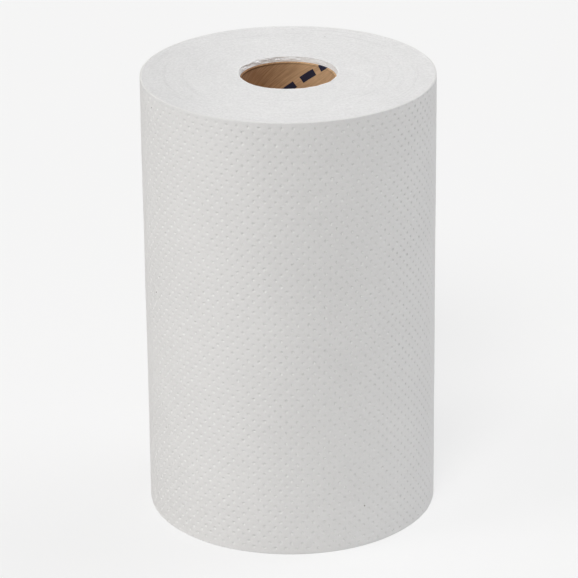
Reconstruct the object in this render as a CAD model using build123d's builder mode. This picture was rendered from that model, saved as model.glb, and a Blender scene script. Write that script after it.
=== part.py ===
"""A roll of paper hand towel: one long web wound round a cardboard core.

The roll stands on one end, its axis along +Z, with the origin at the centre of the face it stands on.
All sizes are in millimetres.

Two things make the roll, and both are modelled as they come off the winder:

* towel_winding: the web itself. Its turns lie tight on each other, so they are one solid. Its outline
  is the last turn of a spiral, so it ends in a step one sheet high where the tail is glued down.
* core: the paperboard tube that the web is wound on. It is a little shorter than the sheet is wide, so
  the innermost turns stand past both of its ends.
"""

from build123d import *
import math
import os

# ---- driving dimensions -------------------------------------------------------------------------
SHEET_WIDTH = 203.0  # an eight inch web, which is the height of the roll
ROLL_DIAMETER = 130.0  # over the tail, where the roll is widest
SHEET_CALIPER = 0.15  # thickness of one wound turn, and so the height of the step at the tail
TAIL_DIRECTION = 118.0  # where the tail ends, in degrees from +X, round at the back
CORE_BORE_DIAMETER = 41.0  # what a holder's spindle goes through
CORE_WALL = 1.2  # two glued plies of paperboard
CORE_RECESS = 2.3  # how far the sheet stands past the core, at each end
RIM_ROUND = 0.5  # the saw leaves the roll's outer edge slightly soft
LIP_BEVEL = 0.4  # the innermost turns' edge, pushed open a little by the spindle
CORE_EDGE_BEVEL = 0.2  # the core's inner edge, crushed a little by the saw

# ---- sizes that follow --------------------------------------------------------------------------
ROLL_RADIUS = ROLL_DIAMETER / 2
CORE_BORE_RADIUS = CORE_BORE_DIAMETER / 2
CORE_OUTER_RADIUS = CORE_BORE_RADIUS + CORE_WALL
CORE_LENGTH = SHEET_WIDTH - 2 * CORE_RECESS
WEB_LENGTH = math.pi * (ROLL_RADIUS**2 - CORE_OUTER_RADIUS**2) / SHEET_CALIPER

# The last turn closes in by one caliper. Two half circles draw it. The second has its centre moved half
# a caliper away from the tail, so the two meet smoothly opposite the tail, and leave a step of exactly
# one caliper at the tail itself.
SECOND_HALF_RADIUS = ROLL_RADIUS - SHEET_CALIPER / 2
SECOND_HALF_CENTRE = (-SHEET_CALIPER / 2, 0)

os.makedirs("parts", exist_ok=True)

# ---- the wound web ------------------------------------------------------------------------------
# The spiral is drawn with its tail along +X, on a plane turned to bring the tail round to its place.
with BuildPart() as towel_winding:
    with BuildSketch(Plane.XY.rotated((0, 0, TAIL_DIRECTION))):
        with BuildLine():
            first_half = CenterArc((0, 0), ROLL_RADIUS, 0, 180)
            second_half = CenterArc(SECOND_HALF_CENTRE, SECOND_HALF_RADIUS, 180, 180)
            Line(second_half @ 1, first_half @ 0)
        make_face()
        Circle(CORE_OUTER_RADIUS, mode=Mode.SUBTRACT)
    extrude(amount=SHEET_WIDTH)
    # Each end face has one full circle, the lip round the core. All its other edges are the rim.
    end_edges = towel_winding.faces().filter_by(Axis.Z).edges()
    lip_edges = end_edges.filter_by(lambda edge: edge.is_closed)
    rim_edges = end_edges.filter_by(lambda edge: not edge.is_closed)
    fillet(rim_edges, radius=RIM_ROUND)
    chamfer(lip_edges, length=LIP_BEVEL)
towel_winding.part.label = "towel_winding"

# ---- the core -----------------------------------------------------------------------------------
with BuildPart() as core:
    with BuildSketch(Plane.XY.offset(CORE_RECESS)):
        Circle(CORE_OUTER_RADIUS)
        Circle(CORE_BORE_RADIUS, mode=Mode.SUBTRACT)
    extrude(amount=CORE_LENGTH)
    # The shortest edges of the two end faces are the bore's.
    bore_edges = core.faces().filter_by(Axis.Z).edges().group_by(SortBy.LENGTH)[0]
    chamfer(bore_edges, length=CORE_EDGE_BEVEL)
core.part.label = "core"

for piece in (towel_winding, core):
    export_step(piece.part, f"parts/{piece.part.label}.step")
    print(piece.part.label, "volume, mm3:", round(piece.part.volume))
print("web length, m:", round(WEB_LENGTH / 1000, 1))
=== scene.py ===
"""The looks of a roll of paper hand towel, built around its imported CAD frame.

The roll stands on one end at the origin with its axis along +Z. Lengths are metres. Three things are built:

* the outer turn of the web, embossed with rows of dots, in two half shells that meet on plain paper;
* the wound turns inside it, with the sawn end faces and the ragged innermost turns;
* the cardboard tube, wound from a strip on a helix.

The outer turn and the tube are modelled flat and then bent round, as the real ones are.
"""

import logging
import math
from collections.abc import Callable, Iterator
from contextlib import contextmanager
from dataclasses import dataclass, field
from enum import Enum

import bmesh
import bpy
import numpy as np
from mathutils import Matrix, Vector


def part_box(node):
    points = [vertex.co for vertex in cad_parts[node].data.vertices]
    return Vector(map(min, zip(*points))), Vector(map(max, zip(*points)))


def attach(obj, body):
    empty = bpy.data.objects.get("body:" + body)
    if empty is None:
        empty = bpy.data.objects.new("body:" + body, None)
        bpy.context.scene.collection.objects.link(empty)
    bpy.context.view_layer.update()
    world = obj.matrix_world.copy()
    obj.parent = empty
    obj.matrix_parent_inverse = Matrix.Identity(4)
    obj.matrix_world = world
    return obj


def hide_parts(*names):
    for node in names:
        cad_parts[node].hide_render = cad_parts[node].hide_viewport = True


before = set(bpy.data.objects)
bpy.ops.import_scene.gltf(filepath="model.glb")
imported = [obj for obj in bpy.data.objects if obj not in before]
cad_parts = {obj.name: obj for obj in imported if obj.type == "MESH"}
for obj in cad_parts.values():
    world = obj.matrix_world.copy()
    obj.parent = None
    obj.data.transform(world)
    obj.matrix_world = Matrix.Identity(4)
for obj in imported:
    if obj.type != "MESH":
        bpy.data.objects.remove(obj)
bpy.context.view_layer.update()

MM = 0.001
HAIR = 0.001 * MM
CUT_SNAP = 0.1 * HAIR
log = logging.getLogger("towel_roll")

Colour = tuple[float, float, float]
Place = tuple[float, float, float]
Piece = bpy.types.Object
Socket = bpy.types.NodeSocket
Outputs = bpy.types.NodeOutputs


class Part(Enum):
    """What an edit-mode selection picks."""

    VERT = "VERT"
    EDGE = "EDGE"


# ---- working on a mesh --------------------------------------------------------------------------


@contextmanager
def shaping(piece: Piece) -> Iterator[None]:
    """Opens one piece in edit mode, with nothing else selected, and closes it afterwards.

    Args:
        piece: The mesh object to shape.
    """
    choose(piece)
    bpy.ops.object.mode_set(mode="EDIT")
    try:
        yield
    finally:
        bpy.ops.object.mode_set(mode="OBJECT")


def choose(piece: Piece) -> None:
    """Makes a piece the active object and the only one selected."""
    bpy.ops.object.select_all(action="DESELECT")
    piece.select_set(True)
    bpy.context.view_layer.objects.active = piece


def pick(piece: Piece, part: Part, test: Callable[[Vector], bool], border: bool = False) -> int:
    """Selects the vertices or edges of a piece in edit mode whose points all pass a test.

    Args:
        piece: The piece being shaped.
        part: What to select.
        test: Says of a vertex's place whether it counts.
        border: Whether to keep to edges on the mesh's open border.

    Returns:
        How many were selected.
    """
    bpy.ops.mesh.select_mode(type=part.value)
    bpy.ops.mesh.select_all(action="DESELECT")
    shape = bmesh.from_edit_mesh(piece.data)
    if part is Part.VERT:
        chosen = [vert for vert in shape.verts if test(vert.co)]
    else:
        edges = (edge for edge in shape.edges if edge.is_boundary or not border)
        chosen = [edge for edge in edges if all(test(vert.co) for vert in edge.verts)]
    for item in chosen:
        item.select = True
    shape.select_flush_mode()
    bmesh.update_edit_mesh(piece.data)
    return len(chosen)


def copy_in_rows(piece: Piece, count: int, step: Place) -> None:
    """Repeats a piece's mesh along a line with an applied Array modifier.

    Args:
        piece: The piece to repeat.
        count: How many there are in the end.
        step: How far each lies from the one before.
    """
    choose(piece)
    rows = piece.modifiers.new("rows", "ARRAY")
    rows.count = count
    rows.use_relative_offset = False
    rows.use_constant_offset = True
    rows.constant_offset_displace = step
    bpy.ops.object.modifier_apply(modifier=rows.name)


def trim(place: Place, outward: Place) -> None:
    """Cuts the mesh that is in edit mode along a plane, and drops what lies on its outward side.

    Args:
        place: A point on the cutting plane.
        outward: The plane's normal, towards what is dropped.
    """
    bpy.ops.mesh.select_all(action="SELECT")
    bpy.ops.mesh.bisect(plane_co=place, plane_no=outward, clear_outer=True, threshold=CUT_SNAP)


def drag_border(move: Place) -> None:
    """Extrudes the selected border edges and moves the new ones."""
    bpy.ops.mesh.extrude_edges_move(TRANSFORM_OT_translate={"value": move})


def bend_round(piece: Piece, radius: float, turn: float) -> None:
    """Bends a sheet that lies in the XY plane, with its outer face up, into a standing cylinder.

    Args:
        piece: The sheet. Its X runs round the cylinder, its Y up it, and its Z away from the axis.
        radius: The radius that the plane Z = 0 ends up at.
        turn: Where X = 0 ends up, as an angle from the -Y direction, in radians.
    """
    choose(piece)
    piece.rotation_euler = (math.pi / 2, 0, 0)
    bpy.ops.object.transform_apply(location=False, rotation=True, scale=False)
    along = [vert.co.x for vert in piece.data.vertices]
    bend = piece.modifiers.new("bend", "SIMPLE_DEFORM")
    bend.deform_method = "BEND"
    bend.deform_axis = "Z"
    bend.angle = (max(along) - min(along)) / radius
    bpy.ops.object.modifier_apply(modifier=bend.name)
    piece.data.transform(Matrix.Rotation(turn, 4, "Z") @ Matrix.Translation((0, -radius, 0)))


def read_points(piece: Piece) -> np.ndarray:
    """Returns a piece's vertex places as rows of three."""
    points = np.empty(len(piece.data.vertices) * 3, np.float32)
    piece.data.vertices.foreach_get("co", points)
    return points.reshape(-1, 3).astype(float)


def write_points(piece: Piece, points: np.ndarray) -> None:
    """Moves a piece's vertices to new places."""
    piece.data.vertices.foreach_set("co", points.astype(np.float32).ravel())
    piece.data.update()


def soft_noise(points: np.ndarray, size: float, seed: int) -> np.ndarray:
    """Returns smooth noise between -1 and 1 at each point.

    Args:
        points: Places, as rows of three.
        size: How far apart the noise's own values are.
        seed: Which noise it is.

    Returns:
        One value a point, blended between random values at the corners of a grid.
    """
    side = 64
    table = np.random.default_rng(seed).uniform(-1, 1, (side, side, side))
    cell = np.floor(points / size).astype(int)
    part = points / size - cell
    part = part * part * (3 - 2 * part)
    total = np.zeros(len(points))
    for corner in np.ndindex(2, 2, 2):
        share = np.prod(np.where(np.array(corner) == 1, part, 1 - part), axis=1)
        spot = (cell + corner) % side
        total += share * table[spot[:, 0], spot[:, 1], spot[:, 2]]
    return total


def smooth_step(low: float, high: float, value: np.ndarray) -> np.ndarray:
    """Returns 0 below low, 1 above high, and a smooth rise between."""
    part = np.clip((value - low) / (high - low), 0, 1)
    return part * part * (3 - 2 * part)


@dataclass(frozen=True)
class Unevenness:
    """A smooth rise and fall: how high it is, how far apart its bumps are, and which noise it is."""

    height: float
    size: float
    seed: int

    def at(self, points: np.ndarray) -> np.ndarray:
        """Returns the rise at each point."""
        return self.height * soft_noise(points, self.size, self.seed)


@dataclass(frozen=True)
class RingWave:
    """A smooth rise and fall that runs round a circle and changes from one circle to the next."""

    height: float
    wander: float
    size: float
    seed: int

    def at(self, facing: np.ndarray, along: np.ndarray) -> np.ndarray:
        """Returns the rise at each point.

        Args:
            facing: Which way each point lies from the axis, as rows of two.
            along: How far each lies across the circles.

        Returns:
            One value a point.
        """
        places = np.column_stack([facing * self.wander, along / self.size])
        return self.height * soft_noise(places, 1.0, self.seed)


def new_piece(name: str, stands_for: str, finish: bpy.types.Material, piece: Piece) -> None:
    """Names a finished mesh, dresses it and ties it to the frame.

    Args:
        name: What the piece is called.
        stands_for: The CAD node that it replaces.
        finish: Its material.
        piece: The mesh object, which sits at the origin.
    """
    piece.name = name
    piece.data.name = name
    piece.data.materials.clear()
    piece.data.materials.append(finish)
    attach(piece, "root")
    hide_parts(stands_for)
    triangles = sum(len(face.vertices) - 2 for face in piece.data.polygons)
    log.info("%s: %d triangles", name, triangles)


# ---- shader nodes -------------------------------------------------------------------------------


class Nodes:
    """Lays out and joins the nodes of one material, world or group."""

    def __init__(self, tree: bpy.types.NodeTree) -> None:
        """Starts with an empty tree."""
        self.tree = tree
        tree.nodes.clear()

    def add(self, kind: str, inputs: dict | None = None, **settings: object) -> bpy.types.Node:
        """Adds a node.

        Args:
            kind: The node's type, without its ShaderNode prefix.
            inputs: Values or output sockets for its inputs, by name or place.
            settings: Values for the node's own properties.

        Returns:
            The node.
        """
        node = self.tree.nodes.new(kind if kind.startswith("Node") else "ShaderNode" + kind)
        for name, value in settings.items():
            setattr(node, name, value)
        for key, value in (inputs or {}).items():
            if isinstance(value, Socket):
                self.tree.links.new(value, node.inputs[key])
            else:
                node.inputs[key].default_value = value
        return node

    def math(self, operation: str, *values: object, clamp: bool = False) -> Socket:
        """Returns the result of a Math node on numbers or sockets."""
        return self.add("Math", dict(enumerate(values)), operation=operation, use_clamp=clamp).outputs[0]

    def product(self, first: Socket, *others: object) -> Socket:
        """Returns the product of several numbers or sockets."""
        for other in others:
            first = self.math("MULTIPLY", first, other)
        return first

    def noise(self, vector: object, scale: float, detail: float = 2.0, rough: float = 0.5) -> Socket:
        """Returns the value of a Noise Texture, about 0.5 on the whole."""
        inputs = {"Vector": vector, "Scale": scale, "Detail": detail, "Roughness": rough}
        return self.add("TexNoise", inputs).outputs["Fac"]

    def ramp(self, value: object, low: float, high: float, to_low: float, to_high: float) -> Socket:
        """Returns a value moved from one range to another, and held inside it."""
        inputs = {"Value": value, "From Min": low, "From Max": high, "To Min": to_low, "To Max": to_high}
        return self.add("MapRange", inputs, interpolation_type="SMOOTHSTEP").outputs["Result"]

    def scaled(self, vector: object, scale: Place) -> Socket:
        """Returns a vector stretched by a Mapping node."""
        return self.add("Mapping", {"Vector": vector, "Scale": scale}).outputs["Vector"]

    def split(self, vector: object) -> Outputs:
        """Returns a vector's X, Y and Z."""
        return self.add("SeparateXYZ", {0: vector}).outputs

    def blend(self, share: object, first: object, second: object, how: str = "MIX") -> Socket:
        """Returns a mix of two colours."""
        node = self.add("Mix", data_type="RGBA", blend_type=how)
        for socket, value in zip((node.inputs[0], node.inputs[6], node.inputs[7]), (share, first, second)):
            if isinstance(value, Socket):
                self.tree.links.new(value, socket)
            else:
                socket.default_value = (*value, 1.0) if isinstance(value, tuple) else value
        return node.outputs[2]

    def shaded(self, colour: object, shade: Socket) -> Socket:
        """Returns a colour made darker or lighter by a shade around 1."""
        shades = self.add("CombineXYZ", {0: shade, 1: shade, 2: shade}).outputs[0]
        return self.blend(1.0, colour, shades, "MULTIPLY")

    def matte(self, colour: Socket, height: Socket, relief: float, **look: float) -> None:
        """Ends a material in a rough surface with a fine relief.

        Args:
            colour: Its colour.
            height: The relief, as a noise.
            relief: How high 1 stands in that noise.
            look: Its roughness, specular level and sheen.
        """
        bump = self.add("Bump", {"Height": height, "Distance": relief, "Strength": 1.0})
        face = self.add("BsdfPrincipled", {"Base Color": colour, "Normal": bump.outputs["Normal"]})
        face.inputs["Roughness"].default_value = look["roughness"]
        face.inputs["Specular IOR Level"].default_value = look["specular"]
        face.inputs["Sheen Weight"].default_value = look.get("sheen", 0.0)
        self.add("OutputMaterial", {"Surface": face.outputs[0]})


def new_material(name: str) -> tuple[bpy.types.Material, Nodes]:
    """Returns a new material, and the helper that fills it."""
    material = bpy.data.materials.new(name)
    material.use_nodes = True
    return material, Nodes(material.node_tree)


def new_group(name: str, inputs: dict[str, str], outputs: dict[str, str]) -> tuple[bpy.types.NodeTree, Nodes]:
    """Makes an empty shader group with named sockets.

    Args:
        name: The group's name.
        inputs: Socket types by input name.
        outputs: Socket types by output name.

    Returns:
        The group's tree, and the helper that fills it.
    """
    tree = bpy.data.node_groups.new(name, "ShaderNodeTree")
    for direction, sockets in (("INPUT", inputs), ("OUTPUT", outputs)):
        for label, kind in sockets.items():
            tree.interface.new_socket(name=label, in_out=direction, socket_type="NodeSocket" + kind)
    return tree, Nodes(tree)


@dataclass(frozen=True)
class Grain:
    """How one material shows the shared fibres and mottle. Its scales are per metre."""

    hairs: float
    clumps: float
    shade_depth: float
    patches: float
    patch_depth: float


@dataclass(frozen=True)
class Specks:
    """Rare small specks: their colour, how closely they may lie, their size and how many there are."""

    colour: Colour
    per_m: float
    size: float
    share: float = 0.02


class SharedEffects:
    """Shader groups that more than one material places, each with its own values."""

    def __init__(self) -> None:
        """Builds every group once."""
        self.fibres = self._fibres()
        self.mottle = self._mottle()
        self.specks = self._specks()

    def fibrous(self, nodes: Nodes, place: Socket, grain: Grain) -> tuple[Socket, Socket]:
        """Places the fibres and the mottle in a material.

        Args:
            nodes: The material's nodes.
            place: Where the point is on the piece.
            grain: How strongly the material shows them.

        Returns:
            The fibres' height, and a shade around 1.
        """
        hairs = {"Hair Scale": grain.hairs, "Clump Scale": grain.clumps, "Shade Depth": grain.shade_depth}
        patches = {"Scale": grain.patches, "Depth": grain.patch_depth}
        fibres = nodes.add("Group", {"Vector": place, **hairs}, node_tree=self.fibres).outputs
        mottle = nodes.add("Group", {"Vector": place, **patches}, node_tree=self.mottle).outputs
        return fibres["Height"], nodes.product(fibres["Shade"], mottle["Shade"])

    def speckled(self, nodes: Nodes, place: Socket, colour: Socket, specks: Specks) -> Socket:
        """Returns a colour with specks in it."""
        values = {"Vector": place, "Scale": specks.per_m, "Size": specks.size, "Share": specks.share}
        mask = nodes.add("Group", values, node_tree=self.specks).outputs["Mask"]
        return nodes.blend(mask, colour, specks.colour)

    @staticmethod
    def _fibres() -> bpy.types.NodeTree:
        """Returns the grain of a fibrous sheet: fine hairs over small clumps, as a height and a shade."""
        tree, nodes = new_group(
            "fibre_grain",
            {"Vector": "Vector", "Hair Scale": "Float", "Clump Scale": "Float", "Shade Depth": "Float"},
            {"Height": "Float", "Shade": "Float"},
        )
        given = nodes.add("NodeGroupInput").outputs
        hairs = nodes.noise(given["Vector"], given["Hair Scale"], detail=3, rough=0.65)
        clumps = nodes.noise(given["Vector"], given["Clump Scale"], detail=2)
        hair_share = 0.45
        clump_share = 1 - hair_share
        height = nodes.math("ADD", nodes.product(hairs, hair_share), nodes.product(clumps, clump_share))
        offset = nodes.product(nodes.math("SUBTRACT", height, 0.5), given["Shade Depth"])
        nodes.add("NodeGroupOutput", {"Height": height, "Shade": nodes.math("ADD", 1.0, offset)})
        return tree

    @staticmethod
    def _mottle() -> bpy.types.NodeTree:
        """Returns broad soft patches, as a shade around 1."""
        tree, nodes = new_group(
            "soft_mottle", {"Vector": "Vector", "Scale": "Float", "Depth": "Float"}, {"Shade": "Float"}
        )
        given = nodes.add("NodeGroupInput").outputs
        patches = nodes.noise(given["Vector"], given["Scale"], detail=1)
        offset = nodes.product(nodes.math("SUBTRACT", patches, 0.5), given["Depth"])
        nodes.add("NodeGroupOutput", {"Shade": nodes.math("ADD", 1.0, offset)})
        return tree

    @staticmethod
    def _specks() -> bpy.types.NodeTree:
        """Returns a mask of rare small specks, as recycled pulp has."""
        tree, nodes = new_group(
            "pulp_specks",
            {"Vector": "Vector", "Scale": "Float", "Size": "Float", "Share": "Float"},
            {"Mask": "Float"},
        )
        given = nodes.add("NodeGroupInput").outputs
        cells = nodes.add("TexVoronoi", {"Vector": given["Vector"], "Scale": given["Scale"]}, feature="F1")
        inside = nodes.math("LESS_THAN", cells.outputs["Distance"], given["Size"])
        lot = nodes.add("SeparateColor", {"Color": cells.outputs["Color"]}).outputs["Red"]
        drawn = nodes.math("LESS_THAN", lot, given["Share"])
        nodes.add("NodeGroupOutput", {"Mask": nodes.product(inside, drawn)})
        return tree


@dataclass(frozen=True)
class TowelFinish:
    """Creped white towel paper, seen flat on: the outside of the roll."""

    effects: SharedEffects
    pit_shade_map: str
    white: Colour = (0.805, 0.799, 0.794)
    pit_shade: Colour = (0.785, 0.778, 0.774)
    grain: Grain = Grain(hairs=2400, clumps=900, shade_depth=0.11, patches=38, patch_depth=0.05)
    specks: Specks = Specks((0.22, 0.20, 0.18), per_m=220, size=0.07)
    crepe_per_m: float = 2600.0
    crepe_stretch: Place = (1, 1, 0.22)
    crepe_height: float = 0.9
    relief: float = 0.07 * MM

    def build(self) -> bpy.types.Material:
        """Returns the material."""
        material, nodes = new_material("embossed_towel_paper")
        place = nodes.add("TexCoord").outputs["Object"]
        height, shade = self.effects.fibrous(nodes, place, self.grain)
        crepe = nodes.noise(nodes.scaled(place, self.crepe_stretch), self.crepe_per_m, detail=1)
        height = nodes.math("ADD", height, nodes.product(crepe, self.crepe_height))
        # painted shade: the paper darkens towards the floor of each dot's pit
        pits = nodes.add("Attribute", attribute_name=self.pit_shade_map).outputs["Fac"]
        colour = nodes.blend(pits, nodes.shaded(self.white, shade), self.pit_shade)
        colour = self.effects.speckled(nodes, place, colour, self.specks)
        nodes.matte(colour, height, self.relief, roughness=0.95, specular=0.2, sheen=0.05)
        return material


@dataclass(frozen=True)
class SawnEndFinish:
    """The edges of hundreds of turns, cut off by a saw: fine rings under a fuzzy grain."""

    effects: SharedEffects
    hole_radius: float
    creased_map: str
    white: Colour = (0.825, 0.822, 0.824)
    grain: Grain = Grain(hairs=2100, clumps=900, shade_depth=0.44, patches=55, patch_depth=0.05)
    specks: Specks = Specks((0.30, 0.29, 0.28), per_m=240, size=0.075)
    rings_per_m: float = 3300.0
    ring_wander: float = 7.0
    ring_height: float = 0.45
    ring_shades: tuple[float, float] = (0.982, 1.012)
    painted_crease_highlight: tuple[float, float] = (0.93, 1.07)
    painted_lip_highlight: float = 1.11
    painted_lip_fade: tuple[float, float] = (0.1 * MM, 0.7 * MM)
    loose_per_m: float = 800.0
    loose_bands_per_m: float = 90.0
    loose_wander: float = 1.6
    loose_depth: float = 0.052
    loose_beyond: tuple[float, float] = (30 * MM, 50 * MM)
    painted_side_shade_span: tuple[float, float] = (-72 * MM, -8 * MM)
    painted_side_shade: float = 0.905
    relief: float = 0.14 * MM

    def build(self) -> bpy.types.Material:
        """Returns the material."""
        material, nodes = new_material("sawn_towel_edges")
        place = nodes.add("TexCoord").outputs["Object"]
        level = nodes.scaled(place, (1, 1, 0))
        reach = nodes.add("VectorMath", {0: level}, operation="LENGTH").outputs["Value"]
        facing = nodes.split(nodes.add("VectorMath", {0: level}, operation="NORMALIZE").outputs["Vector"])
        spot = nodes.split(place)
        down_the_wall_too = nodes.math("ADD", reach, spot["Z"])
        rings = self._ring_noise(nodes, down_the_wall_too, facing, self.rings_per_m, self.ring_wander, 2)
        height, shade = self.effects.fibrous(nodes, place, self.grain)
        height = nodes.math("ADD", height, nodes.product(rings, self.ring_height))
        creased = nodes.add("Attribute", attribute_name=self.creased_map).outputs["Fac"]
        lip_start, lip_end = (self.hole_radius + fade for fade in self.painted_lip_fade)
        shade = nodes.product(
            shade,
            nodes.ramp(rings, 0.3, 0.7, *self.ring_shades),
            self._loose_turns(nodes, reach, facing),
            # painted shade: the end faces darken towards -X
            nodes.ramp(spot["X"], *self.painted_side_shade_span, self.painted_side_shade, 1.0),
            # painted highlight: the end face pales along each crease
            nodes.ramp(creased, -1.0, 1.0, *self.painted_crease_highlight),
            # painted highlight: brightens the hole's lip and the wall inside the hole
            nodes.ramp(reach, lip_start, lip_end, self.painted_lip_highlight, 1.0),
        )
        colour = self.effects.speckled(nodes, place, nodes.shaded(self.white, shade), self.specks)
        nodes.matte(colour, height, self.relief, roughness=0.97, specular=0.15)
        return material

    def _ring_noise(
        self, nodes: Nodes, reach: Socket, facing: Outputs, per_m: float, wander: float, detail: float
    ) -> Socket:
        """Returns noise that changes from ring to ring, and slowly along each.

        Args:
            nodes: The material's nodes.
            reach: How far out the point is.
            facing: Which way it lies from the axis.
            per_m: How many changes there are in a metre outwards.
            wander: How fast the noise changes along a ring.
            detail: How much finer noise is added.

        Returns:
            The noise, about 0.5 on the whole.
        """
        spot = {
            0: nodes.product(reach, per_m),
            1: nodes.product(facing["X"], wander),
            2: nodes.product(facing["Y"], wander),
        }
        return nodes.noise(nodes.add("CombineXYZ", spot).outputs[0], 1.0, detail)

    def _loose_turns(self, nodes: Nodes, reach: Socket, facing: Outputs) -> Socket:
        """Returns the shade of the thin dark lines, part of the way round, where turns were wound loose."""
        lines = self._ring_noise(nodes, reach, facing, self.loose_per_m, self.loose_wander, 1)
        bands = self._ring_noise(nodes, reach, facing, self.loose_bands_per_m, self.loose_wander, 1)
        depth = nodes.product(
            nodes.ramp(lines, 0.54, 0.72, 0.0, self.loose_depth),
            nodes.ramp(bands, 0.42, 0.6, 0.25, 1.0),
            nodes.ramp(reach, *self.loose_beyond, 0.3, 1.0),
        )
        return nodes.math("SUBTRACT", 1.0, depth)


@dataclass(frozen=True)
class CoreBoardFinish:
    """Brown cardboard wound from a strip, with printed dashes that follow the strip."""

    effects: SharedEffects
    strip_map: str
    low: float
    high: float
    brown: Colour = (0.33, 0.175, 0.085)
    pale_brown: Colour = (0.72, 0.48, 0.28)
    painted_shadow_brown: Colour = (0.09, 0.045, 0.02)
    ink: Colour = (0.003, 0.009, 0.04)
    ink_cover: float = 0.97
    grain: Grain = Grain(hairs=1500, clumps=420, shade_depth=0.30, patches=120, patch_depth=0.18)
    streaks_per_m: Place = (90.0, 1500.0, 1.0)
    streak_strength: float = 0.22
    painted_pale_side_span: tuple[float, float] = (-19 * MM, 15 * MM)
    edge_shadow_across: tuple[float, float] = (-18 * MM, 12 * MM)
    edge_shadow_above: tuple[float, float] = (0.25 * MM, 0.45 * MM)
    edge_shadow_below: tuple[float, float] = (0.7 * MM, 1.3 * MM)
    dash_length: float = 8.0 * MM
    dash_gap: float = 3.6 * MM
    dash_width: float = 3.2 * MM
    dash_line: float = 38.0 * MM
    dash_blur: float = 0.08 * MM
    dash_wear: float = 0.5 * MM
    relief: float = 0.05 * MM

    def build(self) -> bpy.types.Material:
        """Returns the material."""
        material, nodes = new_material("spiral_core_board")
        place = nodes.add("TexCoord").outputs["Object"]
        strip = nodes.add("UVMap", uv_map=self.strip_map).outputs["UV"]
        spot = nodes.split(place)
        height, shade = self.effects.fibrous(nodes, place, self.grain)
        streaks = nodes.noise(nodes.scaled(strip, self.streaks_per_m), 1.0, detail=3, rough=0.6)
        board = nodes.blend(self._tone_and_painted_shade(nodes, spot, streaks), self.brown, self.pale_brown)
        board = nodes.shaded(board, shade)
        # painted shadow: a dark line just inside each end of the bore
        board = nodes.blend(self._painted_edge_shadow(nodes, spot), board, self.painted_shadow_brown)
        colour = nodes.blend(self._dashes(nodes, strip, height), board, self.ink)
        nodes.matte(colour, nodes.math("ADD", height, streaks), self.relief, roughness=0.85, specular=0.3)
        return material

    def _tone_and_painted_shade(self, nodes: Nodes, spot: Outputs, streaks: Socket) -> Socket:
        """Returns how pale the board is: in streaks along the strip, its own tone, over painted shade that
        leaves the board darker towards -X and paler towards +X.
        """
        # painted shade: darker towards -X, paler towards +X
        side = nodes.ramp(spot["X"], *self.painted_pale_side_span, 0.08, 0.85)
        streak = nodes.ramp(streaks, 0.3, 0.7, -self.streak_strength, self.streak_strength)
        return nodes.math("ADD", side, streak, clamp=True)

    def _painted_edge_shadow(self, nodes: Nodes, spot: Outputs) -> Socket:
        """Returns the mask of a painted shadow: a dark line just inside each end of the bore, stronger
        towards -X.
        """
        from_high = nodes.math("SUBTRACT", self.high, spot["Z"])
        from_low = nodes.math("SUBTRACT", spot["Z"], self.low)
        from_end = nodes.math("MINIMUM", from_high, from_low)
        return nodes.product(
            nodes.ramp(from_end, *self.edge_shadow_above, 0.0, 1.0),
            nodes.ramp(from_end, *self.edge_shadow_below, 1.0, 0.0),
            nodes.ramp(spot["X"], *self.edge_shadow_across, 0.8, 0.2),
        )

    def _dashes(self, nodes: Nodes, strip: Socket, wear: Socket) -> Socket:
        """Returns the mask of one line of plain dashes along the strip."""
        part = nodes.split(strip)
        pitch = self.dash_length + self.dash_gap
        along = nodes.math("PINGPONG", part["X"], pitch / 2)
        across = nodes.math("ABSOLUTE", nodes.math("SUBTRACT", part["Y"], self.dash_line))
        ragged = nodes.product(nodes.math("SUBTRACT", wear, 0.5), self.dash_wear)
        past_end = nodes.math("ADD", nodes.math("SUBTRACT", along, self.dash_length / 2), ragged)
        past_side = nodes.math("ADD", nodes.math("SUBTRACT", across, self.dash_width / 2), ragged)
        worst = nodes.math("MAXIMUM", past_end, past_side)
        return nodes.ramp(worst, -self.dash_blur, self.dash_blur, self.ink_cover, 0.0)


# ---- the roll -----------------------------------------------------------------------------------


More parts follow.
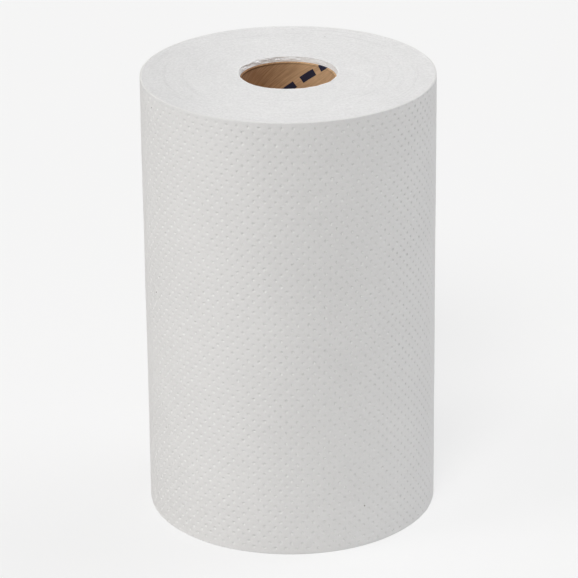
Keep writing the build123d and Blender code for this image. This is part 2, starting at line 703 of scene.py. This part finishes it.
@dataclass
class OuterTurn:
    """The outermost turn of the web: two embossed half shells, with the tail glued down at the back."""

    radius: float
    height: float
    finish: bpy.types.Material
    pit_shade_map: str
    caliper: float = 0.15 * MM
    columns: int = 85
    row_pitch: float = 5.126 * MM
    spare_columns: int = 2
    spare_rows: int = 3
    pattern_turn: float = math.radians(-0.7)
    dot_sides: int = 8
    dot_radii: tuple[float, float, float] = (0.95 * MM, 0.60 * MM, 0.25 * MM)
    dot_depths: tuple[float, float, float, float] = (0.02 * MM, 0.24 * MM, 0.48 * MM, 0.54 * MM)
    dot_sharpness: tuple[float, float] = (0.92, 1.14)
    dot_shift: float = 0.04 * MM
    rim_round: float = 0.5 * MM
    rim_steps: tuple[tuple[float, float], ...] = (
        (0.30 * MM, 0.06 * MM),
        (0.15 * MM, 0.18 * MM),
        (0.05 * MM, 0.30 * MM),
    )
    ironed: float = 0.9 * MM
    shell: float = 1.0 * MM
    tail_angle: float = math.radians(118.0)
    tail_lift: float = 0.25 * MM
    tail_run: float = 2.5 * MM
    swells: tuple[Unevenness, ...] = (
        Unevenness(0.08 * MM, 22 * MM, 31),
        Unevenness(0.04 * MM, 7 * MM, 87),
    )
    rumples: tuple[Unevenness, ...] = (
        Unevenness(0.30 * MM, 3.2 * MM, 58),
        Unevenness(0.18 * MM, 8 * MM, 59),
    )
    rumple_place: tuple[float, float] = (-20 * MM, 168 * MM)
    rumple_size: tuple[float, float] = (11 * MM, 8 * MM)
    smooth_angle: float = math.radians(65)
    seed: int = 11

    @property
    def girth(self) -> float:
        """The length of one turn."""
        return 2 * math.pi * self.radius

    @property
    def tile(self) -> tuple[float, float]:
        """The width and height of the patch of paper round one dot."""
        return self.girth / self.columns, self.row_pitch / 2

    def build(self) -> None:
        """Models both halves."""
        sheet = self._embossed_sheet()
        self._vary_dots(sheet)
        names = ("outer_turn_tail_half", "outer_turn_far_half")
        for name, side in zip(names, (-1, 1)):
            half = sheet.copy()
            half.data = sheet.data.copy()
            bpy.context.collection.objects.link(half)
            self._trim_half(half, side)
            self._uneven(half)
            self._close(half, side)
            self._lay_as_spiral(half)
            bend_round(half, self.radius, self.tail_angle - math.pi / 2)
            half.data.shade_smooth()
            choose(half)
            bpy.ops.object.shade_smooth_by_angle(angle=self.smooth_angle)
            self._flatten_between(half)
            new_piece(name, "towel_winding", self.finish, half)
        bpy.data.objects.remove(sheet)

    def _embossed_sheet(self) -> Piece:
        """Models one dot with its patch of paper, and repeats it.

        Returns:
            A flat sheet that is larger than the turn on every side.
        """
        width, depth = self.tile
        rim, flank, floor = self.dot_radii
        steps = np.diff((0.0, *self.dot_depths))
        bpy.ops.mesh.primitive_circle_add(
            vertices=self.dot_sides, radius=rim, fill_type="NGON", location=(0, 0, 0)
        )
        sheet = bpy.context.object
        side_reach = math.cos(math.pi / self.dot_sides)
        middle_reach = math.hypot(floor / 2, self.dot_depths[2])
        with shaping(sheet):
            bpy.ops.mesh.select_mode(type="FACE")
            bpy.ops.mesh.select_all(action="SELECT")
            bpy.ops.transform.translate(value=(0, 0, -steps[0]))
            for inset, sink in ((rim - flank, steps[1]), (flank - floor, steps[2])):
                bpy.ops.mesh.inset(thickness=inset * side_reach, depth=0)
                bpy.ops.transform.translate(value=(0, 0, -sink))
            bpy.ops.mesh.poke()
            pick(sheet, Part.VERT, lambda place: place.length < middle_reach)
            bpy.ops.transform.translate(value=(0, 0, -steps[3]))
            pick(sheet, Part.EDGE, lambda place: place.xy.length > flank, border=True)
            drag_border((0, 0, self.dot_depths[0]))
            shape = bmesh.from_edit_mesh(sheet.data)
            for vert in shape.verts:
                if vert.select:
                    vert.co.x = round(vert.co.x / rim) * width / 2
                    vert.co.y = round(vert.co.y / rim) * depth / 2
            bmesh.update_edit_mesh(sheet.data)
        row_pairs = math.ceil(self.height / self.row_pitch) + self.spare_rows
        copy_in_rows(sheet, self.columns + 2 * self.spare_columns, (width, 0, 0))
        copy_in_rows(sheet, 2, (width / 2, depth, 0))
        copy_in_rows(sheet, row_pairs, (0, 2 * depth, 0))
        first = (-width * (self.columns // 2 + self.spare_columns), -depth * self.spare_rows, 0)
        sheet.data.transform(Matrix.Translation(first))
        with shaping(sheet):
            bpy.ops.mesh.select_all(action="SELECT")
            bpy.ops.mesh.remove_doubles(threshold=2 * HAIR)
        return sheet

    def _vary_dots(self, sheet: Piece) -> None:
        """Varies the dots' depths, sets each a little off its place, and notes how deep in its pit each point
        lies, for the painted shade in the pits.
        """
        width, depth = self.tile
        draw = np.random.default_rng(self.seed)
        points = read_points(sheet)
        rows = np.rint(points[:, 1] / depth).astype(int)
        columns = np.floor(points[:, 0] / width - np.where(rows % 2 == 0, 0.0, 0.5) + 0.5).astype(int)
        table_size = (rows.max() - rows.min() + 1, columns.max() - columns.min() + 1)
        dot = (rows - rows.min(), columns - columns.min())
        sharpness = draw.uniform(*self.dot_sharpness, table_size)[dot]
        shift_x = draw.normal(0, self.dot_shift, table_size)[dot]
        shift_y = draw.normal(0, self.dot_shift, table_size)[dot]
        in_dot = points[:, 2] < -0.5 * self.dot_depths[0]
        points[in_dot, 2] *= sharpness[in_dot]
        points[in_dot, 0] += shift_x[in_dot]
        points[in_dot, 1] += shift_y[in_dot]
        write_points(sheet, points)
        # How deep in its pit each point lies, which the towel finish turns into painted shade.
        pit_shade = np.clip(-points[:, 2] / self.dot_depths[-1], 0, 1) ** 2
        sheet.data.attributes.new(self.pit_shade_map, "FLOAT", "POINT").data.foreach_set("value", pit_shade)

    def _flatten_between(self, half: Piece) -> None:
        """Keeps the shading flat between the dots, so that each dot's edge stays crisp."""
        weighted = half.modifiers.new("flat_between", "WEIGHTED_NORMAL")
        weighted.keep_sharp = True
        bpy.ops.object.modifier_apply(modifier=weighted.name)

    def _trim_half(self, half: Piece, side: int) -> None:
        """Cuts one half out of the sheet.

        Args:
            half: A copy of the sheet.
            side: -1 for the half that starts at the tail, 1 for the other.
        """
        with shaping(half):
            between_dots = (self.tile[0] / 4, 0, 0)
            trim(between_dots, (-side, 0, 0))
            bpy.ops.mesh.select_all(action="SELECT")
            bpy.ops.transform.rotate(
                value=-self.pattern_turn, orient_axis="Z", center_override=(0, self.height / 2, 0)
            )
            trim((side * self.girth / 2, 0, 0), (side, 0, 0))
            trim((0, self.height - self.rim_round, 0), (0, 1, 0))
            trim((0, self.rim_round, 0), (0, -1, 0))

    def _uneven(self, half: Piece) -> None:
        """Irons out the dots that a rim cuts through, and lets the paper swell as a wound web does."""
        points = read_points(half)
        from_rim = np.minimum(points[:, 1], self.height - points[:, 1]) - self.rim_round
        points[:, 2] *= smooth_step(0, self.ironed, from_rim)
        for swell in self.swells:
            points[:, 2] += swell.at(points)
        from_rumple = (points[:, :2] - self.rumple_place) / self.rumple_size
        rumpled = np.exp(-np.sum(from_rumple**2, axis=1))
        for rumple in self.rumples:
            points[:, 2] += rumpled * rumple.at(points)
        write_points(half, points)

    def _close(self, half: Piece, side: int) -> None:
        """Rounds the top and bottom rims, and closes the shell with an inner wall and two ends."""
        top, bottom = self.height - self.rim_round, self.rim_round
        middle = side * self.girth / 4
        with shaping(half):
            for level, up in ((top, 1), (bottom, -1)):
                pick(half, Part.EDGE, lambda place: abs(place.y - level) < HAIR, border=True)
                for rise, sink in self.rim_steps:
                    drag_border((0, up * rise, -sink))
                drag_border((0, 0, 0))
                bpy.ops.transform.resize(value=(1, 1, 0), center_override=(0, 0, -self.shell))
            pick(half, Part.EDGE, lambda place: abs(place.z + self.shell) < HAIR, border=True)
            bpy.ops.mesh.bridge_edge_loops()
            for end in (-1, 1):
                pick(half, Part.EDGE, lambda place: end * (place.x - middle) > 0, border=True)
                bpy.ops.mesh.edge_face_add()
            bpy.ops.mesh.select_all(action="SELECT")
            bpy.ops.mesh.normals_make_consistent(inside=False)

    def _lay_as_spiral(self, half: Piece) -> None:
        """Sinks the turn by one thickness of paper from the tail round to where it passes under it."""
        points = read_points(half)
        from_tail = points[:, 0] + self.girth / 2
        points[:, 2] -= self.caliper * from_tail / self.girth
        near_tail = 1 - smooth_step(0, self.tail_run, from_tail)
        outside = smooth_step(-self.shell, -0.5 * self.shell, points[:, 2])
        points[:, 2] += self.tail_lift * near_tail * outside
        write_points(half, points)


@dataclass(frozen=True)
class Crease:
    """A shallow curved dent in the top end face, along part of a circle."""

    centre: tuple[float, float]
    radius: float
    start: float
    end: float
    depth: float
    half_width: float = 0.42 * MM
    fade: float = 14.0

    def dent(self, points: np.ndarray) -> np.ndarray:
        """Returns how deep the dent is at each point.

        Args:
            points: Places, as rows of three.

        Returns:
            One depth a point, which fades towards both ends of the dent.
        """
        across, along = points[:, 0] - self.centre[0], points[:, 1] - self.centre[1]
        off = (np.hypot(across, along) - self.radius) / self.half_width
        turn = self.start + (np.degrees(np.arctan2(along, across)) - self.start) % 360
        rising = smooth_step(self.start, self.start + self.fade, turn)
        falling = smooth_step(self.end, self.end - self.fade, turn)
        return self.depth * np.exp(-(off**2)) * rising * falling


@dataclass
class WoundTurns:
    """All the turns inside the outer one: both sawn end faces, and the ragged turns round the hole."""

    outer_radius: float
    hole_radius: float
    height: float
    core_recess: float
    finish: bpy.types.Material
    creased_map: str
    rings: int = 100
    steps: int = 360
    lip_recess: float = 2.3 * MM
    lip: tuple[tuple[float, float], ...] = (
        (0.0, 0.0),
        (0.35 * MM, 0.0),
        (0.40 * MM, -0.10 * MM),
        (0.85 * MM, -0.12 * MM),
        (0.90 * MM, -0.23 * MM),
        (1.35 * MM, -0.25 * MM),
        (1.40 * MM, -0.37 * MM),
        (1.95 * MM, -0.39 * MM),
        (2.00 * MM, -0.50 * MM),
        (2.20 * MM, -0.50 * MM),
        (2.25 * MM, 0.0),
        (3.20 * MM, 0.0),
    )
    creases: tuple[Crease, ...] = (
        Crease((19.0 * MM, -11.0 * MM), 16.8 * MM, -38, 82, 0.13 * MM),
        Crease((18.5 * MM, -10.0 * MM), 14.6 * MM, -15, 62, 0.06 * MM),
        Crease((-16.0 * MM, -4.0 * MM), 14.0 * MM, 150, 215, 0.07 * MM),
        Crease((4.0 * MM, 30.0 * MM), 12.0 * MM, 38, 78, 0.12 * MM),
    )
    full_crease: float = 0.2 * MM
    turn_width: float = 0.1 * MM
    turn_height: float = 0.03 * MM
    bands: RingWave = RingWave(0.06 * MM, 2.2, 0.9 * MM, 44)
    swells: tuple[Unevenness, ...] = (
        Unevenness(0.10 * MM, 14 * MM, 13),
        Unevenness(0.05 * MM, 1.6 * MM, 61),
    )
    tears: tuple[RingWave, ...] = (
        RingWave(0.16 * MM, 9, 0.6 * MM, 22),
        RingWave(0.10 * MM, 32, 0.45 * MM, 99),
    )
    torn_reach: tuple[float, float] = (1 * MM, 5 * MM)
    worst_tear_towards: tuple[float, float] = (-0.75, 0.66)
    worst_tear_extra: float = 1.3
    smooth_angle: float = math.radians(48)
    seed: int = 5

    def build(self) -> None:
        """Models the body."""
        bpy.ops.mesh.primitive_plane_add(size=1, location=(0, 0, 0))
        body = bpy.context.object
        self._draw_section(body)
        with shaping(body):
            bpy.ops.mesh.select_all(action="SELECT")
            bpy.ops.mesh.delete(type="ONLY_FACE")
            bpy.ops.mesh.select_all(action="SELECT")
            bpy.ops.mesh.spin(steps=self.steps, angle=2 * math.pi, center=(0, 0, 0), axis=(0, 0, 1))
            bpy.ops.mesh.select_all(action="SELECT")
            bpy.ops.mesh.remove_doubles(threshold=HAIR)
            bpy.ops.mesh.normals_make_consistent(inside=False)
        self._roughen(body)
        choose(body)
        bpy.ops.object.shade_smooth_by_angle(angle=self.smooth_angle)
        new_piece("wound_turns", "towel_winding", self.finish, body)

    def _draw_section(self, body: Piece) -> None:
        """Shapes the plane into the section of the winding, with a stepped lip at each end of the hole."""
        with shaping(body):
            shape = bmesh.from_edit_mesh(body.data)
            for vert in shape.verts:
                reach = self.outer_radius if vert.co.x > 0 else self.hole_radius
                vert.co = Vector((reach, 0, self.height if vert.co.y > 0 else 0))
            bmesh.update_edit_mesh(body.data)
            pick(body, Part.EDGE, lambda place: place.z > self.height / 2)
            bpy.ops.mesh.subdivide(number_cuts=self.rings)
            pick(body, Part.EDGE, lambda place: place.z < self.height / 2)
            bpy.ops.mesh.subdivide(number_cuts=self.rings)
            pick(body, Part.EDGE, lambda place: place.x < self.hole_radius + HAIR)
            bpy.ops.mesh.subdivide(number_cuts=2 * len(self.lip) - 2)
            shape = bmesh.from_edit_mesh(body.data)
            on_wall = (vert for vert in shape.verts if vert.co.x < self.hole_radius + HAIR)
            wall = sorted(on_wall, key=lambda vert: vert.co.z)
            scale = self.core_recess / self.lip_recess
            for low, high, (depth, lean) in zip(wall, reversed(wall), self.lip):
                low.co.z, high.co.z = depth * scale, self.height - depth * scale
                low.co.x = high.co.x = self.hole_radius + lean
            bmesh.update_edit_mesh(body.data)

    def _roughen(self, body: Piece) -> None:
        """Gives the end faces their rings, unevenness and creases, and the hole its torn edge."""
        points = read_points(body)
        reach = np.hypot(points[:, 0], points[:, 1])
        facing = points[:, :2] / reach[:, None]
        up = np.where(points[:, 2] > self.height / 2, 1.0, -1.0)
        end_depth = np.minimum(points[:, 2], self.height - points[:, 2])
        on_end = (end_depth < HAIR).astype(float)
        rise = self._turn_edges(reach, up) + self.bands.at(facing, reach)
        rise = rise + sum(swell.at(points) for swell in self.swells)
        dent = sum(crease.dent(points) for crease in self.creases) * (up > 0) * on_end
        rise = rise - dent
        rise = np.where(up < 0, -np.abs(rise), rise)
        points[:, 2] += up * on_end * rise
        points[:, :2] += facing * self._torn(points, reach, facing, end_depth)[:, None]
        write_points(body, points)
        # The crease depths also go to the end finish, which paints a highlight along each crease.
        creased = np.clip(dent / self.full_crease, -1, 1)
        body.data.attributes.new(self.creased_map, "FLOAT", "POINT").data.foreach_set("value", creased)

    def _turn_edges(self, reach: np.ndarray, up: np.ndarray) -> np.ndarray:
        """Returns how far each point's own turn stands out of the end face.

        Args:
            reach: How far each point lies from the axis.
            up: 1 for points near the top, -1 for those near the bottom.

        Returns:
            One height a point, the same all the way round.
        """
        draw = np.random.default_rng(self.seed)
        turn_count = 2048
        heights = draw.normal(0, self.turn_height, (2, turn_count))
        turn = np.clip((reach / self.turn_width).astype(int), 0, turn_count - 1)
        return heights[(up > 0).astype(int), turn]

    def _torn(
        self, points: np.ndarray, reach: np.ndarray, facing: np.ndarray, end_depth: np.ndarray
    ) -> np.ndarray:
        """Returns how far tearing moves each point outwards, strongest in the lips of the hole.

        Args:
            points: Places, as rows of three.
            reach: How far each lies from the axis.
            facing: Which way each lies from the axis, as rows of two.
            end_depth: How far each lies inside the nearer end face.

        Returns:
            One distance a point.
        """
        near, far = self.torn_reach
        torn = smooth_step(self.core_recess, 0.5 * self.core_recess, end_depth)
        torn = torn * smooth_step(far, near, reach - self.hole_radius)
        torn = torn * (1 + self.worst_tear_extra * smooth_step(0.35, 0.95, facing @ self.worst_tear_towards))
        return torn * sum(tear.at(facing, points[:, 2]) for tear in self.tears)


@dataclass
class CoreTube:
    """The cardboard tube, wound on a helix from a strip whose edges butt together."""

    outer_radius: float
    low: float
    high: float
    finish: bpy.types.Material
    strip_map: str
    wall: float = 1.2 * MM
    strip_width: float = 76 * MM
    segments: int = 128
    rows: int = 60
    edge_bevel: float = 0.2 * MM
    joint_depth: float = 0.12 * MM
    joint_half_width: float = 0.25 * MM
    plies: tuple[tuple[float, float], ...] = ((0.34, 0.0), (0.06, -0.06 * MM), (0.06, 0.06 * MM))
    smooth_angle: float = math.radians(35)

    @property
    def bore_radius(self) -> float:
        """The radius of the bore."""
        return self.outer_radius - self.wall

    @property
    def girth(self) -> float:
        """The length round the bore."""
        return 2 * math.pi * self.bore_radius

    @property
    def helix(self) -> float:
        """The angle at which the strip's joint falls from left to right, seen from outside."""
        return math.asin(self.strip_width / self.girth)

    def build(self) -> None:
        """Models the tube."""
        bpy.ops.mesh.primitive_grid_add(x_subdivisions=self.segments, y_subdivisions=self.rows, size=1)
        tube = bpy.context.object
        size = Matrix.Diagonal((self.girth, self.high - self.low, 1, 1))
        tube.data.transform(Matrix.Translation((0, (self.low + self.high) / 2, 0)) @ size)
        self._cut_joints(tube)
        self._map_strip(tube)
        self._close(tube)
        bend_round(tube, self.bore_radius, 0.0)
        with shaping(tube):
            bpy.ops.mesh.select_all(action="SELECT")
            bpy.ops.mesh.remove_doubles(threshold=5 * HAIR)
            bpy.ops.mesh.normals_make_consistent(inside=False)
        choose(tube)
        bpy.ops.object.shade_smooth_by_angle(angle=self.smooth_angle)
        new_piece("core_tube", "core", self.finish, tube)

    def _cut_joints(self, tube: Piece) -> None:
        """Presses a narrow groove into the bore where the strip's edges meet."""
        across = Vector((math.sin(self.helix), math.cos(self.helix), 0))
        climb = self.strip_width / math.cos(self.helix)
        turns_outside = 2
        span = range(-turns_outside, math.ceil(self.high / climb) + turns_outside + 1)
        with shaping(tube):
            bpy.ops.mesh.flip_normals()
            for turn in span:
                start = Vector((0, turn * climb, 0))
                for offset in (-1, 0, 1):
                    place = start + across * offset * self.joint_half_width
                    bpy.ops.mesh.select_all(action="SELECT")
                    bpy.ops.mesh.bisect(plane_co=place, plane_no=across, threshold=CUT_SNAP)
            for turn in span:
                start = Vector((0, turn * climb, 0))
                if pick(tube, Part.VERT, lambda place: abs((place - start).dot(across)) < HAIR):
                    bpy.ops.transform.translate(value=(0, 0, self.joint_depth))

    def _map_strip(self, tube: Piece) -> None:
        """Writes each corner's place on the strip, along and across it, as a UV map in metres."""
        across = np.array((math.sin(self.helix), math.cos(self.helix)))
        along = np.array((math.cos(self.helix), -math.sin(self.helix)))
        layer = tube.data.uv_layers.get(self.strip_map) or tube.data.uv_layers.new(name=self.strip_map)
        points = read_points(tube)[:, :2]
        for face in tube.data.polygons:
            middle = np.mean([points[index] for index in face.vertices], axis=0)
            turn = math.floor(float(middle @ across) / self.strip_width)
            for corner, index in zip(face.loop_indices, face.vertices):
                u = float(points[index] @ along) - turn * self.girth * math.cos(self.helix)
                layer.data[corner].uv = (u, float(points[index] @ across) - turn * self.strip_width)

    def _close(self, tube: Piece) -> None:
        """Adds the bevelled cut ends, a ply line in each, and the outer wall."""
        with shaping(tube):
            for level, up in ((self.high, 1), (self.low, -1)):
                bevelled = level - up * self.edge_bevel
                pick(tube, Part.VERT, lambda place: abs(place.y - level) < HAIR)
                bpy.ops.transform.translate(value=(0, bevelled - level, 0))
                pick(tube, Part.EDGE, lambda place: abs(place.y - bevelled) < HAIR, border=True)
                drag_border((0, level - bevelled, 0))
                bpy.ops.transform.resize(value=(1, 1, 0), center_override=(0, 0, self.edge_bevel))
                for share, rise in self.plies:
                    drag_border((0, up * rise, share * self.wall))
                drag_border((0, 0, 0))
                bpy.ops.transform.resize(value=(1, 1, 0), center_override=(0, 0, self.wall))
            pick(tube, Part.EDGE, lambda place: abs(place.z - self.wall) < HAIR, border=True)
            bpy.ops.mesh.bridge_edge_loops()


# ---- the studio ---------------------------------------------------------------------------------


@dataclass(frozen=True)
class SoftLamp:
    """A wide, distant lamp.

    Its bearing is measured from the camera's side of the roll, to the right, and its strength is the
    brightness of a white card that faces it.
    """

    name: str
    bearing: float
    elevation: float
    strength: float
    spread: float
    colour: Colour

    def build(self) -> None:
        """Adds the lamp to the scene."""
        data = bpy.data.lights.new(self.name, "SUN")
        data.energy = math.pi * self.strength
        data.angle = math.radians(self.spread)
        data.color = self.colour
        bearing, elevation = math.radians(self.bearing), math.radians(self.elevation)
        level = math.cos(elevation)
        towards = Vector((level * math.sin(bearing), -level * math.cos(bearing), math.sin(elevation)))
        lamp = bpy.data.objects.new(self.name, data)
        lamp.rotation_euler = towards.to_track_quat("Z", "Y").to_euler()
        bpy.context.scene.collection.objects.link(lamp)


@dataclass
class Studio:
    """The floor, the lights, the world behind them and the camera."""

    lamps: tuple[SoftLamp, ...] = (
        SoftLamp("left_low", -90, 15, 0.11, 16, (1.0, 0.985, 0.96)),
        SoftLamp("left_high", -72, 45, 0.19, 18, (1.0, 0.985, 0.96)),
        SoftLamp("front", -16, 45, 0.40, 20, (1.0, 0.995, 0.985)),
        SoftLamp("right_low", 100, 15, 0.17, 50, (0.94, 0.96, 1.0)),
        SoftLamp("back_right", 120, 45, 0.27, 50, (1.0, 1.0, 1.0)),
    )
    backdrop: float = 0.922
    ceiling: float = 0.52
    warm_side: Colour = (1.0, 0.985, 0.96)
    cool_side: Colour = (0.97, 0.985, 1.0)
    floor_size: float = 8.0
    floor_shade: float = 0.24
    floor_glow: float = 0.69
    floor_bounce: float = 0.82
    focal_length_mm: float = 205.43
    sensor_width_mm: float = 36.0
    camera_place: Vector = field(default_factory=lambda: Vector((0, -1.365, 0.6752)))
    camera_pitch: float = math.radians(22.84)
    camera_yaw: float = math.radians(0.026)
    camera_roll: float = math.radians(-0.598)

    def build(self) -> None:
        """Sets the whole studio up."""
        scene = bpy.context.scene
        scene.view_settings.view_transform = "Standard"
        self._floor()
        self._world(scene)
        for lamp in self.lamps:
            lamp.build()
        self._camera(scene)

    def _seen_directly(self, nodes: Nodes) -> Socket:
        """Returns 1 for rays that show the backdrop: from the camera, a mirror or glass."""
        rays = nodes.add("LightPath").outputs
        total = nodes.math("ADD", rays["Is Camera Ray"], rays["Is Glossy Ray"])
        return nodes.math("ADD", total, rays["Is Transmission Ray"], clamp=True)

    def _floor(self) -> None:
        """Lays a pale floor that shows as an even backdrop and keeps the roll's soft shadow."""
        bpy.ops.mesh.primitive_plane_add(size=self.floor_size, location=(0, 0, 0))
        floor = bpy.context.object
        floor.name = "floor"
        material, nodes = new_material("pale_floor")
        shaded = nodes.add("BsdfDiffuse", {"Color": (*[self.floor_shade] * 3, 1)})
        glow = nodes.add("Emission", {"Color": (1, 1, 1, 1), "Strength": self.floor_glow})
        shown = nodes.add("AddShader", {0: shaded.outputs[0], 1: glow.outputs[0]})
        bounce = nodes.add("BsdfDiffuse", {"Color": (*[self.floor_bounce] * 3, 1)})
        seen = self._seen_directly(nodes)
        mix = nodes.add("MixShader", {0: seen, 1: bounce.outputs[0], 2: shown.outputs[0]})
        nodes.add("OutputMaterial", {"Surface": mix.outputs[0]})
        floor.data.materials.append(material)

    def _world(self, scene: bpy.types.Scene) -> None:
        """Lights the roll softly from the ceiling, and shows the backdrop's white behind it."""
        world = bpy.data.worlds.new("room")
        world.use_nodes = True
        nodes = Nodes(world.node_tree)
        direction = nodes.split(nodes.add("TexCoord").outputs["Generated"])
        side = nodes.ramp(direction["X"], -1.0, 1.0, 0.0, 1.0)
        tint = nodes.blend(side, self.warm_side, self.cool_side)
        height = nodes.math("MAXIMUM", direction["Z"], 0.0)
        ceiling = nodes.product(nodes.math("POWER", height, 2.0), self.ceiling)
        room = nodes.add("Background", {"Color": tint, "Strength": ceiling})
        white = nodes.add("Background", {"Color": (1, 1, 1, 1), "Strength": self.backdrop})
        seen = self._seen_directly(nodes)
        mix = nodes.add("MixShader", {0: seen, 1: room.outputs[0], 2: white.outputs[0]})
        nodes.add("OutputWorld", {"Surface": mix.outputs[0]})
        scene.world = world

    def _camera(self, scene: bpy.types.Scene) -> None:
        """Places the camera."""
        data = bpy.data.cameras.new("camera")
        data.lens = self.focal_length_mm
        data.sensor_width = self.sensor_width_mm
        camera = bpy.data.objects.new("camera", data)
        yaw = Matrix.Rotation(self.camera_yaw, 4, "Z")
        pitch = Matrix.Rotation(math.pi / 2 - self.camera_pitch, 4, "X")
        roll = Matrix.Rotation(self.camera_roll, 4, "Z")
        camera.matrix_world = Matrix.Translation(self.camera_place) @ yaw @ pitch @ roll
        scene.collection.objects.link(camera)
        scene.camera = camera


def main() -> None:
    """Builds the roll and its studio."""
    logging.basicConfig(level=logging.INFO, format="%(name)s %(message)s")
    winding_low, winding_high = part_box("towel_winding")
    core_low, core_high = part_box("core")
    radius = max(winding_high.x, -winding_low.x, winding_high.y, -winding_low.y)
    height = winding_high.z
    hole_radius = core_high.x
    effects = SharedEffects()
    pit_shade_map, creased_map = "pit_shade", "creased"
    outer = OuterTurn(radius, height, TowelFinish(effects, pit_shade_map).build(), pit_shade_map)
    outer.build()
    overlap = 0.05 * MM
    WoundTurns(
        outer_radius=radius - outer.shell + overlap,
        hole_radius=hole_radius,
        height=height,
        core_recess=core_low.z,
        finish=SawnEndFinish(effects, hole_radius, creased_map).build(),
        creased_map=creased_map,
    ).build()
    strip_map = "strip"
    CoreTube(
        outer_radius=hole_radius,
        low=core_low.z,
        high=core_high.z,
        finish=CoreBoardFinish(effects, strip_map, core_low.z, core_high.z).build(),
        strip_map=strip_map,
    ).build()
    Studio().build()


if __name__ == "__main__":
    main()
